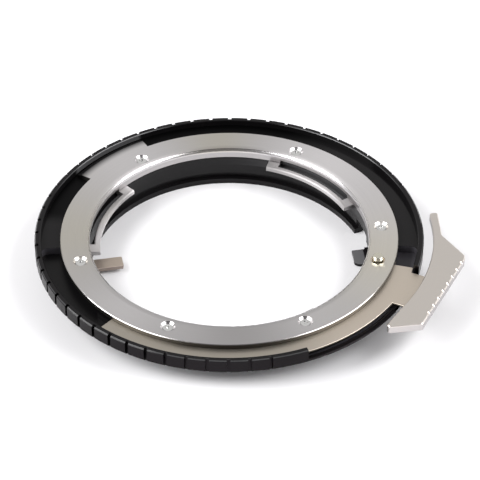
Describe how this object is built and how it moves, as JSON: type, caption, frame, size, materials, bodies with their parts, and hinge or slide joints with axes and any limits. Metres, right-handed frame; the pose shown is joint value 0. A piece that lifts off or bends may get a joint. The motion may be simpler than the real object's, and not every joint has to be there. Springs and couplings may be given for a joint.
{
  "type": "lens mount adapter",
  "caption": "Thin ring adapter with a lens bayonet on one side, a camera bayonet on the other and a sprung release lever that pulls the lock pin down.",
  "frame": {"origin": "on the optical axis, in the plane of the camera flange", "axes": "+Z along the optical axis towards the lens, +X towards the release handle's side"},
  "size_m": [0.0726, 0.066, 0.0084],
  "materials": {
    "black_anodised": "satin black anodised",
    "plated_ring": "turned satin plating with polished edges",
    "bright_screws": "bright plated",
    "spring_steel": "plated sheet",
    "polished_pin": "polished",
    "plated_handle": "satin plating with bright serrations",
    "plated_tab": "plated sheet"
  },
  "bodies": {
    "adapter": {"adapter_body": "black_anodised", "lens_bayonet_ring": "plated_ring", "bayonet_screws": "bright_screws", "aperture_tab": "plated_tab"},
    "release_lever": {"release_spring_plate": "spring_steel", "release_handle": "plated_handle", "lock_pin": "polished_pin"}
  },
  "joints": [
    {"name": "release_press", "type": "hinge", "parent": "adapter", "child": "release_lever", "pos_m": [-0.01814, -0.02364, 0.00144], "axis": [-0.3596, 0.9331, 0], "range_deg": [0, 1.12], "stiffness_Nm_per_rad": 12}
  ]
}
